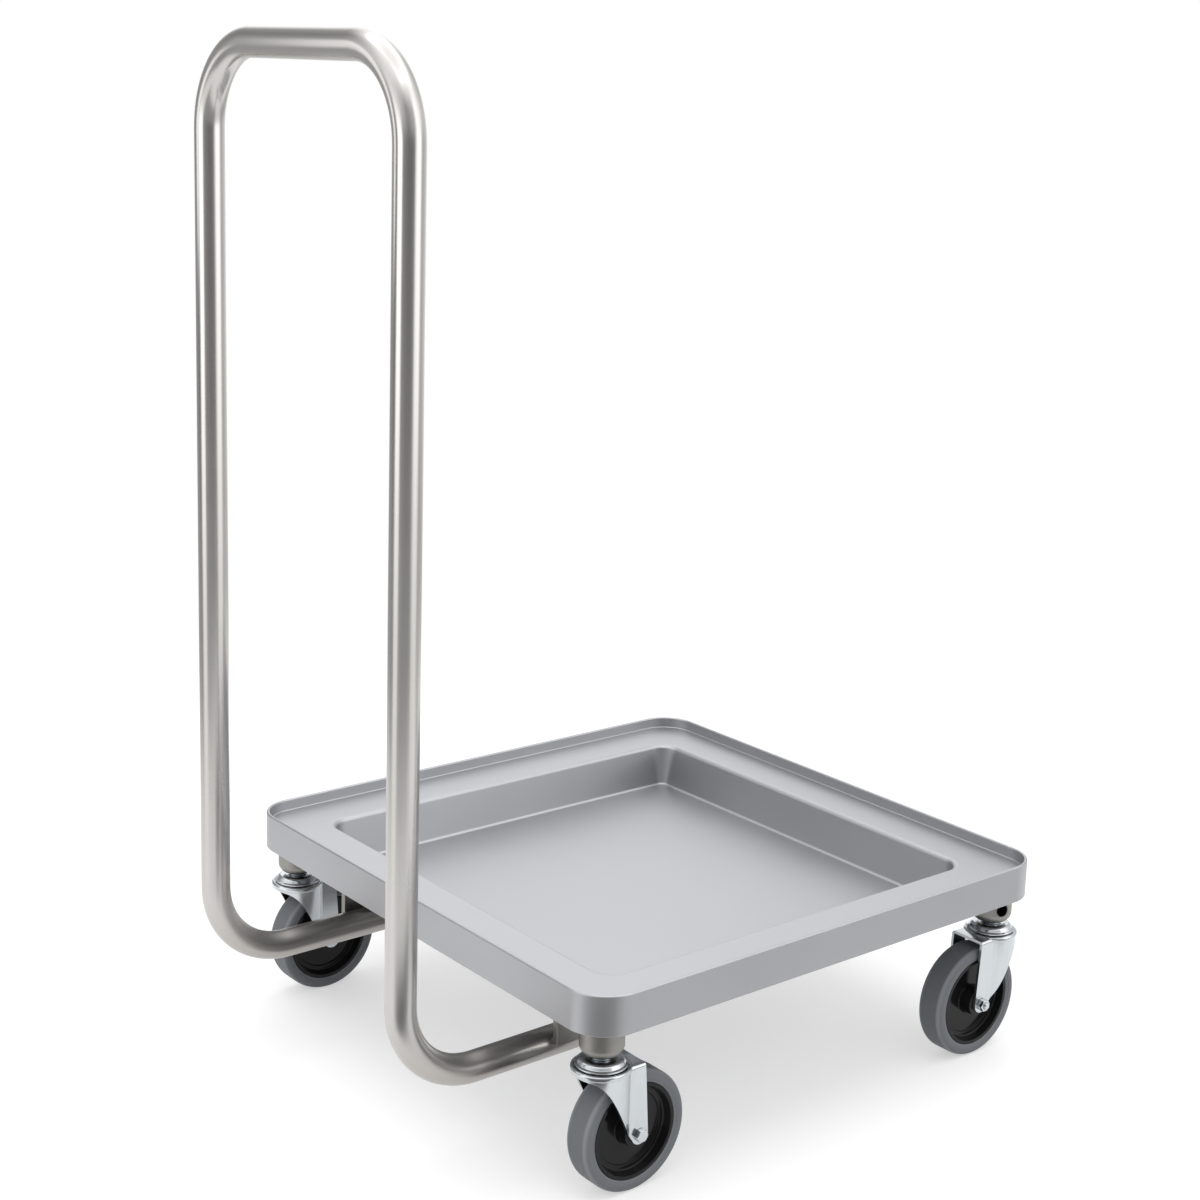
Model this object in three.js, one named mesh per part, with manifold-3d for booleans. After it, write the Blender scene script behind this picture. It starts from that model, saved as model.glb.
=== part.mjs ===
// Rack dolly: a folded sheet deck with a sunk pan on four swivel castors, pushed by a bent tube
// handle. Millimetres, +Z up. The handle stands at the -Y end, and the origin is on the floor
// under the middle of the whole object.

import * as THREE from "three";
import { mergeVertices } from "three/addons/utils/BufferGeometryUtils.js";
import Module from "manifold-3d";

const wasm = await Module();
wasm.setup();

// Fits shared by several pieces
const restGap = 0.3; // between pieces that are welded, pressed or bolted together
const runGap = 0.4; // between pieces that turn against each other
const overrun = 5; // how far a cutting shape reaches past what it cuts

// Deck
const deckWidth = 520; // along X
const deckDepth = 520; // along Y
const deckHeight = 182; // floor to rim
const deckCorner = 35; // outer corner radius
const sheet = 1.5;
const rimRise = 10.9; // ledge to rim
const skirtDrop = 33.9; // rim to the skirt's lower edge
const ledgeWidth = 48; // rim's inner face to the pan's mouth
const panDepth = 52; // rim to pan floor
const panDraft = THREE.MathUtils.degToRad(10.5);
const panMouthCorner = 20;
const panFloorCorner = 9;
const panBend = 3; // inside radius of the sheet's bends round the pan
const rimBend = 1; // inside radius where the ledge turns up

// Handle
const tubeDiameter = 25;
const tubeWall = 1.5;
const handleHeight = 899.4; // floor to the top of the bar
const handleSpread = 290.8; // centre to centre of the two uprights
const handleReach = 101.9; // deck edge to the uprights' centres
const legHeight = 93.9; // floor to the legs' centres
const topBend = 70; // centre line radii
const footBend = 70;
const legEndInset = 40; // far deck edge to the ends of the legs

// Bars between the legs and the pan
const barThickness = 6;
const barInset = 38; // deck edge to each end of a bar
const barLap = 9; // how far a bar reaches down the side of its leg

// Plugs in the tube ends
const plugHead = 3;
const plugInsert = 14;
const plugTaper = 1;

// Castor positions and wheel
const castorInset = 30.7; // deck edges to the swivel axis
const wheelRadius = 51;
const trail = 27; // swivel axis to axle
const tyreWidth = 27;
const tyreShoulder = 5;
const sideDish = 1.5; // how far the tyre's sides fall in towards the hub
const rimRadius = 40.5; // hub's outer radius, where the tyre begins
const hubWidth = 24; // across the hub's outer ring
const hubLip = 3; // thickness of that ring
const hubWeb = 6; // thickness of the disc between ring and boss
const hubDraft = 2.5; // how much the ring thickens towards the disc
const bossRadius = 12;
const sleeveRadius = 6;

// Fork
const forkSheet = 2.5;
const forkWidth = 36; // across the legs
const crownRadius = 24.5; // round part of the crown
const crownHeight = 111; // floor to the crown's flat top
const crownBend = 4; // outer radius of the crown's round edge
const shelfBend = 3; // outer radius of the bends beside the flat rear part
const crownFlange = 4.4; // depth of the flange at the front of the crown
const legEndRadius = 8.3; // round end of each leg, about the axle
const shelfReach = 31; // swivel axis to the rear edge of the flat part
const legEndTurn = THREE.MathUtils.degToRad(205); // where the swept edge meets that round end
const sweepShares = [0.3, 0.11]; // of the crown's radius, where the swept edge turns down

// Axle bolt and nut
const boltDiameter = 6;
const boltHex = 10; // across flats
const boltHead = 4;
const nutHeight = 5.4;
const boltTip = 2; // what the bolt shows past its nut
const hexChamfer = 0.8;
const hexSides = 6;

// Swivel head
const stemDiameter = 12;
const collarDiameter = 16;
const capRadius = 21.5;
const capHeight = 6;
const capSheet = 1.6;
const capLip = 1.3; // upright edge of the cap
const ballDiameter = 4;
const ballCircle = 13; // radius of the circle of balls
const ballCount = 8;
const cageThickness = 1.2;
const dishRadius = 14;
const dishHeight = 4;
const stemHead = 2.6; // height of the stem's head, under the dish
const stemHeadRadius = 8.5;
const stemNutHex = 19;
const stemNutHeight = 8;
const stemTip = 3; // what the stem shows past its nut

// Sockets
const socketDiameter = 36.4;
const socketWall = 2.5;
const socketFoot = 121; // floor to the socket's lower face
const socketFlat = 10; // radius of that face
const socketSeat = 12; // radius of the seat for the stem's nut, inside
const socketDome = 15; // height over which the socket rounds in
const crossHole = 11.5; // diameter
const crossHoleHeight = 135.5; // floor to the hole's centre
const crossHoleTurn = THREE.MathUtils.degToRad(-17);

// Facets of the round shapes
const cornerSteps = 5; // round each corner of the deck
const bendSteps = 3; // round each wide bend
const edgeSteps = 2; // round each tight bend or edge
const hiddenSteps = 1; // round each bend or edge inside a piece
const tubeSides = 16;
const tubeBendSteps = 5;
const wheelSides = 20;
const wheelTurnShare = 0.5; // of one facet, so that a flat and no corner meets the floor
const crownSides = 16;
const socketSides = 14;
const pinSides = 10;
const legSteps = 6; // along the swept edge of a fork leg
const ballSides = 4;
const ballRows = 2;
const weldDistance = 0.0005;

// Levels and places that follow from the sizes above
const tubeRadius = tubeDiameter / 2;
const uprightY = -deckDepth / 2 - handleReach;
const deckY = -(uprightY - tubeRadius + deckDepth / 2) / 2; // deck centre in the part's frame
const legX = handleSpread / 2;
const ledgeLevel = deckHeight - rimRise;
const panLevel = deckHeight - panDepth;
const skirtLevel = deckHeight - skirtDrop;
const crownUnder = crownHeight - forkSheet;
const hem = 2 * sheet; // the rim is the sheet folded flat on itself
const forkInside = forkWidth / 2 - forkSheet;
const boltRadius = boltDiameter / 2;
const stemRadius = stemDiameter / 2;

// Materials, one function for each finish
function satinSteel() {
  return new THREE.MeshStandardMaterial({ color: 0xb9bbc0, roughness: 0.38, metalness: 0.9 });
}

function brushedTube() {
  return new THREE.MeshStandardMaterial({ color: 0xb4b1ad, roughness: 0.28, metalness: 1 });
}

function dullSteel() {
  return new THREE.MeshStandardMaterial({ color: 0x85827d, roughness: 0.45, metalness: 0.9 });
}

function brightZinc() {
  return new THREE.MeshStandardMaterial({ color: 0xd3d8dc, roughness: 0.22, metalness: 0.95 });
}

function hardenedSteel() {
  return new THREE.MeshStandardMaterial({ color: 0x9a9da1, roughness: 0.2, metalness: 1 });
}

function blackNylon() {
  return new THREE.MeshStandardMaterial({ color: 0x141416, roughness: 0.3, metalness: 0 });
}

function greyRubber() {
  return new THREE.MeshStandardMaterial({ color: 0x6a6d72, roughness: 0.65, metalness: 0 });
}

// Turns a closed three.js geometry into a solid that can be joined and cut
function solidOf(geometry) {
  const bare = geometry.clone();
  bare.deleteAttribute("normal");
  bare.deleteAttribute("uv");
  const merged = mergeVertices(bare, weldDistance);
  return new wasm.Manifold(
    new wasm.Mesh({
      numProp: 3,
      vertProperties: merged.attributes.position.array,
      triVerts: new Uint32Array(merged.index.array),
    }),
  );
}

// Turns a solid back into a geometry with flat faces
function geometryOf(solid) {
  const mesh = solid.getMesh();
  const indexed = new THREE.BufferGeometry();
  indexed.setAttribute("position", new THREE.BufferAttribute(mesh.vertProperties, 3));
  indexed.setIndex(new THREE.BufferAttribute(mesh.triVerts, 1));
  const flat = indexed.toNonIndexed();
  flat.computeVertexNormals();
  return flat;
}

function piece(name, geometry, material) {
  const mesh = new THREE.Mesh(geometry, material);
  mesh.name = name;
  return mesh;
}

// A turned piece about Z. The profile is a list of [radius, height], listed upwards on its outer
// side, and closes on itself or on the axis.
function turned(profile, sides) {
  const points = profile.map(([radius, height]) => new THREE.Vector2(radius, height));
  return new THREE.LatheGeometry(points, sides).rotateX(Math.PI / 2);
}

// The same about X, with the profile's heights measured along X, and its first corner turned
// on by a share of one facet
function turnedOnAxle(profile, sides, startShare = 0) {
  const points = profile.map(([radius, place]) => new THREE.Vector2(radius, place));
  const step = (2 * Math.PI) / sides;
  const lathe = new THREE.LatheGeometry(points, sides, startShare * step, 2 * Math.PI);
  return lathe.rotateZ(-Math.PI / 2);
}

// Points of a quarter round from the angle a to the angle b, about [radius, height]
function arc(centre, size, a, b, steps) {
  return Array.from({ length: steps + 1 }, (_, i) => {
    const angle = THREE.MathUtils.degToRad(a + ((b - a) * i) / steps);
    return [centre[0] + size * Math.cos(angle), centre[1] + size * Math.sin(angle)];
  });
}

// A line through corners given as [x, y, radius, steps], each corner rounded by its radius
function rounded(corners) {
  const places = corners.map(([x, y]) => new THREE.Vector2(x, y));
  return corners.flatMap(([x, y, radius, steps = bendSteps], i) => {
    if (!radius) return [[x, y]];
    const back = places[i - 1].clone().sub(places[i]).normalize();
    const on = places[i + 1].clone().sub(places[i]).normalize();
    const half = back.angleTo(on) / 2;
    const start = back.clone().multiplyScalar(radius / Math.tan(half));
    const middle = back.clone().add(on).setLength(radius / Math.sin(half));
    const centre = places[i].clone().add(middle);
    const first = places[i].clone().add(start).sub(centre);
    const turn = (Math.PI - 2 * half) * -Math.sign(back.cross(on));
    return Array.from({ length: steps + 1 }, (_, k) => {
      const spoke = first.clone().rotateAround(new THREE.Vector2(), (turn * k) / steps);
      return [centre.x + spoke.x, centre.y + spoke.y];
    });
  });
}

// Deck. Each ring is a rounded rectangle, and the sheet's section says how far in from the
// deck's edge and how high each ring lies.
function deckRing(inset, level, corner) {
  const halfX = deckWidth / 2 - inset - corner;
  const halfY = deckDepth / 2 - inset - corner;
  const centres = [
    [halfX, halfY],
    [-halfX, halfY],
    [-halfX, -halfY],
    [halfX, -halfY],
  ];
  return centres.flatMap(([x, y], quarter) =>
    arc([x, y], corner, quarter * 90, quarter * 90 + 90, cornerSteps).map(
      ([px, py]) => new THREE.Vector3(px, py, level),
    ),
  );
}

// A closed skin over a list of rings with equal numbers of points, with both ends closed
function skin(rings) {
  const count = rings[0].length;
  const places = rings.flat();
  const index = [];
  for (let ring = 0; ring + 1 < rings.length; ring++) {
    for (let i = 0; i < count; i++) {
      const a = ring * count + i;
      const b = ring * count + ((i + 1) % count);
      index.push(a, a + count, b, b, a + count, b + count);
    }
  }
  const last = (rings.length - 1) * count;
  for (let i = 1; i + 1 < count; i++) {
    index.push(0, i, i + 1);
    index.push(last, last + i + 1, last + i);
  }
  const geometry = new THREE.BufferGeometry().setFromPoints(places);
  geometry.setIndex(index);
  return geometry;
}

function deck() {
  const mouthInset = hem + ledgeWidth;
  const slope = Math.tan(panDraft);
  const skewSheet = sheet / Math.cos(panDraft);
  const floorInset = mouthInset + (ledgeLevel - panLevel) * slope;
  const underMouth = mouthInset - skewSheet + sheet * slope;
  const underFloor = floorInset - skewSheet + sheet * slope;
  const floorEdge = floorInset + panBend * 2;
  const section = rounded(
    [
      [floorEdge, panLevel, 0],
      [floorInset, panLevel, panBend],
      [mouthInset, ledgeLevel, panBend + sheet],
      [hem, ledgeLevel, rimBend, edgeSteps],
      [hem, deckHeight, sheet, edgeSteps],
      [0, deckHeight, sheet, edgeSteps],
      [0, skirtLevel, 0],
      [sheet, skirtLevel, 0],
      [sheet, ledgeLevel - sheet, 0],
      [underMouth, ledgeLevel - sheet, panBend, hiddenSteps],
      [underFloor, panLevel - sheet, panBend + sheet, hiddenSteps],
      [floorEdge, panLevel - sheet, 0],
    ],
  );
  const corner = (inset) => {
    if (inset <= hem) return deckCorner - inset;
    if (inset <= mouthInset) {
      const share = (inset - hem) / ledgeWidth;
      return THREE.MathUtils.lerp(deckCorner - hem, panMouthCorner, share);
    }
    const share = Math.min(1, (inset - mouthInset) / (floorInset - mouthInset));
    return THREE.MathUtils.lerp(panMouthCorner, panFloorCorner, share);
  };
  return skin(section.map(([inset, level]) => deckRing(inset, level, corner(inset))));
}

// Handle. Centre line of a tube with square bends: stations lie only at the ends and round the
// bends, so that the straight runs stay single lengths.
class BentLine extends THREE.Curve {
  constructor(corners) {
    super();
    this.stations = corners.flatMap(({ at, radius }, i) => {
      if (!radius) {
        const [a, b] = i ? [corners[i - 1].at, at] : [at, corners[i + 1].at];
        return [{ at, along: b.clone().sub(a).normalize() }];
      }
      const arriving = at.clone().sub(corners[i - 1].at).normalize();
      const leaving = corners[i + 1].at.clone().sub(at).normalize();
      return Array.from({ length: tubeBendSteps + 1 }, (_, k) => {
        const angle = ((Math.PI / 2) * k) / tubeBendSteps;
        const place = at
          .clone()
          .addScaledVector(arriving, radius * (Math.sin(angle) - 1))
          .addScaledVector(leaving, radius * (1 - Math.cos(angle)));
        const along = arriving
          .clone()
          .multiplyScalar(Math.cos(angle))
          .addScaledVector(leaving, Math.sin(angle));
        return { at: place, along };
      });
    });
  }

  station(share) {
    return this.stations[Math.round(share * (this.stations.length - 1))];
  }

  getPointAt(share) {
    return this.station(share).at.clone();
  }

  getTangentAt(share) {
    return this.station(share).along.clone();
  }
}

function handle() {
  const legEnd = deckDepth / 2 - legEndInset;
  const bar = handleHeight - tubeRadius;
  const line = new BentLine([
    { at: new THREE.Vector3(-legX, legEnd, legHeight), radius: 0 },
    { at: new THREE.Vector3(-legX, uprightY, legHeight), radius: footBend },
    { at: new THREE.Vector3(-legX, uprightY, bar), radius: topBend },
    { at: new THREE.Vector3(legX, uprightY, bar), radius: topBend },
    { at: new THREE.Vector3(legX, uprightY, legHeight), radius: footBend },
    { at: new THREE.Vector3(legX, legEnd, legHeight), radius: 0 },
  ]);
  const section = new THREE.Shape();
  section.absarc(0, 0, tubeRadius, 0, 2 * Math.PI);
  const bore = new THREE.Path();
  bore.absarc(0, 0, tubeRadius - tubeWall, 0, 2 * Math.PI);
  section.holes.push(bore);
  return new THREE.ExtrudeGeometry(section, {
    steps: line.stations.length - 1,
    curveSegments: tubeSides / 2,
    bevelEnabled: false,
    extrudePath: line,
  });
}

function plug() {
  const insertRadius = tubeRadius - tubeWall - restGap;
  const profile = [
    [0, -plugInsert],
    [insertRadius - plugTaper, -plugInsert],
    [insertRadius, -plugInsert + plugTaper],
    [insertRadius, restGap],
    [tubeRadius, restGap],
    [tubeRadius, plugHead - plugTaper],
    [tubeRadius - plugTaper, plugHead],
    [0, plugHead],
  ];
  return turned(profile, tubeSides).rotateX(-Math.PI / 2);
}

// Bar on edge between a leg and the pan: its foot laps the tube's outer side, and its top lies
// under the pan
const barFoot = legHeight + tubeRadius - barLap;
const barTop = panLevel - sheet - restGap;
const barFace = legX + Math.sqrt(tubeRadius ** 2 - (barFoot - legHeight) ** 2) + restGap;

function bar() {
  return new THREE.BoxGeometry(barThickness, deckDepth - 2 * barInset, barTop - barFoot);
}

// Socket: a cup with a rounded foot, open at the top, with one cross hole
function socket() {
  const radius = socketDiameter / 2;
  const top = ledgeLevel - sheet - restGap;
  const bore = stemRadius + restGap;
  const foot = Array.from({ length: bendSteps + 1 }, (_, i) => {
    const angle = ((Math.PI / 2) * i) / bendSteps;
    return [
      socketFlat + (radius - socketFlat) * Math.sin(angle),
      socketFoot + socketDome * (1 - Math.cos(angle)),
    ];
  });
  const cup = solidOf(
    turned(
      [
        [bore, socketFoot],
        ...foot,
        [radius, top],
        [radius - socketWall, top],
        [radius - socketWall, socketFoot + socketDome],
        [socketSeat, socketFoot + socketWall],
        [bore, socketFoot + socketWall],
        [bore, socketFoot],
      ],
      socketSides,
    ),
  );
  const drill = new THREE.CylinderGeometry(crossHole / 2, crossHole / 2, radius, pinSides)
    .rotateZ(Math.PI / 2)
    .translate(radius, 0, crossHoleHeight);
  return geometryOf(cup.subtract(solidOf(drill)));
}

// Stem: its head carries the dish, its shank the fork, and its thread holds it in the socket
const dishTop = crownUnder - runGap;
const dishFoot = dishTop - dishHeight;
const capFoot = crownHeight + runGap;
const capTop = capFoot + capHeight;
const stemNutFoot = socketFoot + socketWall + restGap;
const stemNutTop = stemNutFoot + stemNutHeight;

function stem() {
  const headTop = dishFoot - restGap;
  const collarFoot = capTop + restGap;
  const collarTop = socketFoot - restGap;
  return turned(
    [
      [0, headTop - stemHead],
      [stemHeadRadius, headTop - stemHead],
      [stemHeadRadius, headTop],
      [stemRadius, headTop],
      [stemRadius, collarFoot],
      [collarDiameter / 2, collarFoot],
      [collarDiameter / 2, collarTop],
      [stemRadius, collarTop],
      [stemRadius, stemNutTop + stemTip - hexChamfer],
      [stemRadius - hexChamfer, stemNutTop + stemTip],
      [0, stemNutTop + stemTip],
    ],
    pinSides,
  );
}

// A hexagon nut about Z from the level 0, chamfered on its outer end
function hexNut(flats, height, bore) {
  const cornerRadius = flats / Math.sqrt(3);
  const prism = solidOf(
    new THREE.CylinderGeometry(cornerRadius, cornerRadius, height, hexSides)
      .rotateX(Math.PI / 2)
      .translate(0, 0, height / 2),
  );
  const cone = solidOf(
    turned(
      [
        [0, -overrun],
        [cornerRadius + overrun, -overrun],
        [cornerRadius + overrun, height - hexChamfer - overrun],
        [flats / 2 - hexChamfer / 2, height],
        [0, height],
      ],
      pinSides,
    ),
  );
  const domed = prism.intersect(cone);
  if (!bore) return domed;
  const drill = new THREE.CylinderGeometry(bore, bore, 2 * (height + overrun), pinSides);
  return domed.subtract(solidOf(drill.rotateX(Math.PI / 2)));
}

// Cap of the swivel bearing: a pressed dome with a groove for the balls under it
function cap() {
  const bore = stemRadius + restGap;
  const grooveIn = ballCircle - ballDiameter / 2 - runGap;
  const grooveOut = ballCircle + ballDiameter / 2 + runGap;
  const round = capHeight - capLip - capSheet / 2;
  return turned(
    [
      [bore, capFoot],
      [grooveIn - restGap, capFoot],
      [grooveIn, capTop - capSheet],
      [grooveOut, capTop - capSheet],
      [capRadius - capSheet, capFoot],
      ...arc([capRadius - round, capFoot + capLip], round, 0, 90, edgeSteps),
      [bore, capTop],
      [bore, capFoot],
    ],
    socketSides,
  );
}

// Balls held by their cage, between the crown and the cap
function ballRing() {
  const middle = capFoot + ballDiameter / 2;
  const halfBand = ballDiameter / 4;
  let ring = solidOf(
    turned(
      [
        [ballCircle - halfBand, middle - cageThickness / 2],
        [ballCircle + halfBand, middle - cageThickness / 2],
        [ballCircle + halfBand, middle + cageThickness / 2],
        [ballCircle - halfBand, middle + cageThickness / 2],
        [ballCircle - halfBand, middle - cageThickness / 2],
      ],
      ballCount,
    ),
  );
  for (let i = 0; i < ballCount; i++) {
    const ball = new THREE.SphereGeometry(ballDiameter / 2, ballSides, ballRows)
      .rotateX(Math.PI / 2)
      .translate(0, ballCircle, middle)
      .rotateZ((2 * Math.PI * i) / ballCount);
    ring = ring.add(solidOf(ball));
  }
  return geometryOf(ring);
}

// Dish that holds the fork up against the balls
function dish() {
  const bore = stemRadius + restGap;
  return turned(
    [
      [bore, dishFoot],
      [dishRadius - dishHeight, dishFoot],
      [dishRadius, dishTop - dishHeight / 2],
      [dishRadius, dishTop],
      [bore, dishTop],
      [bore, dishFoot],
    ],
    pinSides,
  );
}

// Fork: a pressed cup with two legs. Its plan is a circle round the swivel axis with a flat
// shelf as wide as the legs behind it, and a swept curve cuts its front edge.
function forkBody({ width, radius, height, edge, bend, rear, steps }) {
  const floor = 0;
  const drum = solidOf(
    turned(
      [
        [0, floor],
        [radius, floor],
        ...arc([radius - edge, height - edge], edge, 0, 90, steps),
        [0, height],
      ],
      crownSides,
    ),
  );
  const across = new THREE.Shape(
    rounded(
      [
        [-width / 2, floor, 0],
        [width / 2, floor, 0],
        [width / 2, height, bend, steps],
        [-width / 2, height, bend, steps],
        [-width / 2, floor, 0],
      ],
    )
      .slice(0, -1)
      .map(([x, z]) => new THREE.Vector2(x, z)),
  );
  const shelf = new THREE.ExtrudeGeometry(across, { depth: rear, bevelEnabled: false })
    .rotateX(Math.PI / 2)
    .translate(0, rear, 0);
  return drum.add(solidOf(shelf));
}

function fork() {
  const rear = trail + legEndRadius;
  const outside = forkBody({
    width: forkWidth,
    radius: crownRadius,
    height: crownHeight,
    edge: crownBend,
    bend: shelfBend,
    rear,
    steps: edgeSteps,
  });
  const inside = forkBody({
    width: 2 * forkInside,
    radius: crownRadius - forkSheet,
    height: crownUnder,
    edge: crownBend - forkSheet,
    bend: Math.max(shelfBend - forkSheet, restGap),
    rear: rear + overrun,
    steps: hiddenSteps,
  });
  const side = new THREE.Shape();
  const flangeLevel = crownHeight - crownFlange;
  side.moveTo(rear, wheelRadius);
  side.lineTo(shelfReach, crownHeight);
  side.lineTo(shelfReach, crownHeight + overrun);
  side.lineTo(-crownRadius - overrun, crownHeight + overrun);
  side.lineTo(-crownRadius - overrun, flangeLevel);
  side.lineTo(-crownRadius, flangeLevel);
  side.bezierCurveTo(
    -crownRadius * sweepShares[0],
    flangeLevel,
    -crownRadius * sweepShares[1],
    (wheelRadius + flangeLevel) / 2,
    trail + legEndRadius * Math.cos(legEndTurn),
    wheelRadius + legEndRadius * Math.sin(legEndTurn),
  );
  side.absarc(trail, wheelRadius, legEndRadius, legEndTurn, 2 * Math.PI);
  const sweep = solidOf(
    new THREE.ExtrudeGeometry(side, {
      depth: 2 * (crownRadius + overrun),
      bevelEnabled: false,
      curveSegments: legSteps,
    })
      .rotateX(Math.PI / 2)
      .rotateZ(Math.PI / 2)
      .translate(-crownRadius - overrun, 0, 0),
  );
  const stemHole = new THREE.CylinderGeometry(
    stemRadius + runGap,
    stemRadius + runGap,
    2 * (forkSheet + overrun),
    pinSides,
  )
    .rotateX(Math.PI / 2)
    .translate(0, 0, crownHeight);
  const axleHole = new THREE.CylinderGeometry(
    boltRadius + restGap,
    boltRadius + restGap,
    forkWidth + 2 * overrun,
    pinSides,
  )
    .rotateZ(Math.PI / 2)
    .translate(0, trail, wheelRadius);
  const body = outside
    .intersect(sweep)
    .subtract(inside)
    .subtract(solidOf(stemHole))
    .subtract(solidOf(axleHole));
  return geometryOf(body);
}

// Axle bolt along X, with its head on the +X side
function axleBolt() {
  const headFoot = forkWidth / 2 + restGap;
  const shank = turnedOnAxle(
    [
      [0, -headFoot - nutHeight - boltTip],
      [boltRadius - hexChamfer, -headFoot - nutHeight - boltTip],
      [boltRadius, -headFoot - nutHeight - boltTip + hexChamfer],
      [boltRadius, headFoot + boltHead / 2],
      [0, headFoot + boltHead / 2],
    ],
    pinSides,
  );
  const head = geometryOf(hexNut(boltHex, boltHead, 0))
    .rotateY(Math.PI / 2)
    .translate(headFoot, 0, 0);
  return geometryOf(solidOf(shank).add(solidOf(head)));
}

function axleNut() {
  return geometryOf(hexNut(boltHex, nutHeight, boltRadius + restGap))
    .rotateY(-Math.PI / 2)
    .translate(-forkWidth / 2 - restGap, 0, 0);
}

function axleSleeve() {
  const half = forkInside - restGap;
  const bore = boltRadius + restGap;
  return turnedOnAxle(
    [
      [bore, -half],
      [sleeveRadius, -half],
      [sleeveRadius, half],
      [bore, half],
      [bore, -half],
    ],
    pinSides,
  );
}

// Hub: outer ring, thin disc and boss. Its profile runs along X on the outside and back through
// the bore.
function hub() {
  const bossHalf = forkInside - runGap - restGap;
  const bore = sleeveRadius + runGap;
  const ringIn = rimRadius - hubLip;
  const webOut = ringIn - hubDraft;
  const half = [
    [rimRadius, hubWidth / 2],
    [ringIn, hubWidth / 2],
    [webOut, hubWeb / 2],
    [bossRadius + hubDraft / 2, hubWeb / 2],
    [bossRadius, bossHalf],
    [bore, bossHalf],
  ];
  const mirrored = half.map(([radius, place]) => [radius, -place]).reverse();
  return turnedOnAxle([...mirrored, ...half, [bore, -bossHalf]], wheelSides, wheelTurnShare);
}

// Tyre: its flats, not its corners, lie at the wheel's radius, so that it stands on the floor
function tyre() {
  const flat = 1 / Math.cos(Math.PI / wheelSides);
  const half = tyreWidth / 2;
  const seat = rimRadius + restGap;
  const tread = wheelRadius - tyreShoulder;
  const side = [
    ...arc([tread, half - tyreShoulder], tyreShoulder, 0, 90, edgeSteps),
    [seat, half - sideDish],
  ];
  const mirrored = side.map(([radius, place]) => [radius, -place]).reverse();
  const profile = [...mirrored, ...side, mirrored[0]];
  return turnedOnAxle(profile, wheelSides, wheelTurnShare).scale(1, flat, flat);
}

// Assembly
const dolly = new THREE.Group();
const chassis = new THREE.Group();
chassis.position.y = deckY;
dolly.add(chassis);

chassis.add(piece("deck", deck(), satinSteel()));
chassis.add(piece("handle", handle(), brushedTube()));

for (const [side, name] of [
  [-1, "left"],
  [1, "right"],
]) {
  const rail = piece("bar_" + name, bar(), dullSteel());
  rail.position.set(side * (barFace + barThickness / 2), 0, (barTop + barFoot) / 2);
  chassis.add(rail);
  const end = piece("end_plug_" + name, plug(), blackNylon());
  end.position.set(side * legX, deckDepth / 2 - legEndInset, legHeight);
  chassis.add(end);
}

for (const [sideX, sideY, corner] of [
  [-1, -1, "handle_left"],
  [1, -1, "handle_right"],
  [-1, 1, "far_left"],
  [1, 1, "far_right"],
]) {
  const place = new THREE.Group();
  place.position.set(
    sideX * (deckWidth / 2 - castorInset),
    sideY * (deckDepth / 2 - castorInset),
    0,
  );
  chassis.add(place);

  // The sockets are welded on with their cross holes turned one way in each row
  const cup = piece("socket_" + corner, socket(), dullSteel());
  cup.rotation.z = sideY > 0 ? crossHoleTurn : Math.PI + crossHoleTurn;
  place.add(cup);
  const nut = geometryOf(hexNut(stemNutHex, stemNutHeight, stemRadius + restGap));
  nut.translate(0, 0, stemNutFoot);
  place.add(piece("stem_" + corner, stem(), brightZinc()));
  place.add(piece("stem_nut_" + corner, nut, brightZinc()));
  place.add(piece("cap_" + corner, cap(), brightZinc()));
  place.add(piece("dish_" + corner, dish(), brightZinc()));

  // The castors of each row trail towards the middle of the deck
  const castor = new THREE.Group();
  castor.rotation.z = sideY > 0 ? Math.PI : 0;
  place.add(castor);
  castor.add(piece("ball_ring_" + corner, ballRing(), hardenedSteel()));
  castor.add(piece("fork_" + corner, fork(), brightZinc()));

  const axle = new THREE.Group();
  axle.position.set(0, trail, wheelRadius);
  castor.add(axle);
  axle.add(piece("axle_bolt_" + corner, axleBolt(), brightZinc()));
  axle.add(piece("axle_nut_" + corner, axleNut(), brightZinc()));
  axle.add(piece("axle_sleeve_" + corner, axleSleeve(), hardenedSteel()));
  axle.add(piece("hub_" + corner, hub(), blackNylon()));
  axle.add(piece("tyre_" + corner, tyre(), greyRubber()));
}

export default dolly;
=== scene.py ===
# Rack dolly: a folded stainless deck with a sunk pan, on four swivel castors, pushed by a bent tube
# handle. Metres, +Z up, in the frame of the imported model. The handle stands at the -Y end.

import math

import bmesh
import bpy
from mathutils import Matrix, Vector


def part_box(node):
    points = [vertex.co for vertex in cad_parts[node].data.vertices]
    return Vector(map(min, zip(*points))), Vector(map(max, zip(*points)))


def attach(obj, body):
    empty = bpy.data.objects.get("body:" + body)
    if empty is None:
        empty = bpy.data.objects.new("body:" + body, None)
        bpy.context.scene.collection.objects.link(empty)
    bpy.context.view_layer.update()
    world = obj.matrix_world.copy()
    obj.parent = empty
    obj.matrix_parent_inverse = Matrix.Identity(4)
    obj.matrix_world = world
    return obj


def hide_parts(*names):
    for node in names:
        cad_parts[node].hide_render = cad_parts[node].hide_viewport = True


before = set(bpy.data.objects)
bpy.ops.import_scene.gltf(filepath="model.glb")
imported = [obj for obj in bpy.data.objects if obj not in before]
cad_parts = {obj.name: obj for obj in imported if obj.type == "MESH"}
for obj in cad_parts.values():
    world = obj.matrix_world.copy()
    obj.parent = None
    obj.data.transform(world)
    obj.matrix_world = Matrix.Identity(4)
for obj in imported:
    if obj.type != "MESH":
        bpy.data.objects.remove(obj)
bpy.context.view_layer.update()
mm = 0.001


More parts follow.
